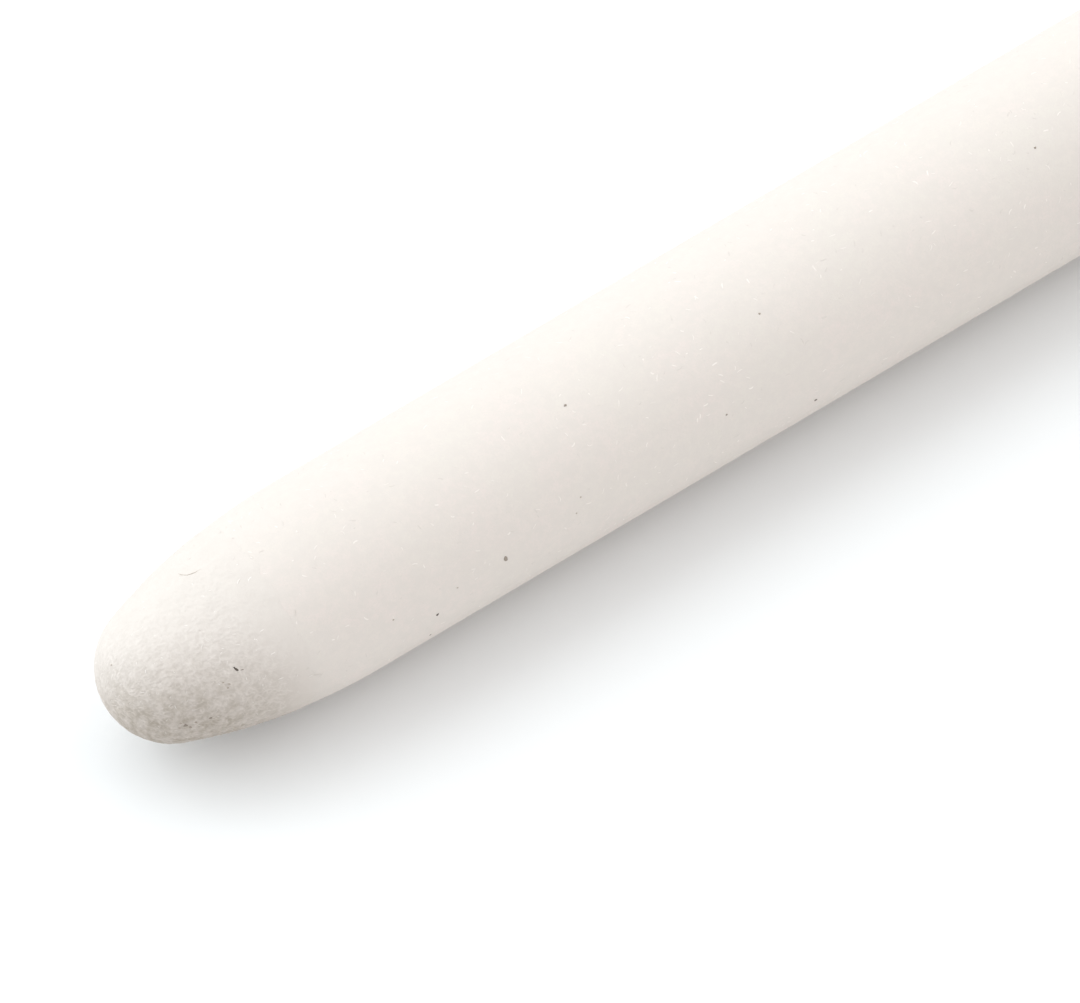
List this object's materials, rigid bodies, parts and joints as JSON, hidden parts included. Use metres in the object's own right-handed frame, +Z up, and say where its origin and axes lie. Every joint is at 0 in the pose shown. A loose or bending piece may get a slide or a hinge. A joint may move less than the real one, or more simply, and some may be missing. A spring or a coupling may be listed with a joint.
{
  "type": "blending stump",
  "caption": "Straight round blending stump of wound felt paper in a smooth cover paper, ground to a rounded nose at each end.",
  "frame": {"origin": "under the middle of the stump, on the surface that it lies on", "axes": "+X along the stump's axis, away from the nose that the picture shows; +Z up; the stump lies on z = 0"},
  "size_m": [0.14, 0.0094, 0.0095],
  "materials": {
    "felt_paper": "soft ground felt paper with a raised nap",
    "cover_paper": "smooth matt off-white paper with faint fibres and flecks",
    "dried_paste": "paper soaked with dried starch paste, matt"
  },
  "bodies": {
    "root": {"core_quill": "felt_paper", "felt_web": "felt_paper", "winding_paste": "dried_paste", "wrap_paste": "dried_paste", "outer_wrap": "cover_paper", "seam_paste": "dried_paste"}
  },
  "joints": []
}
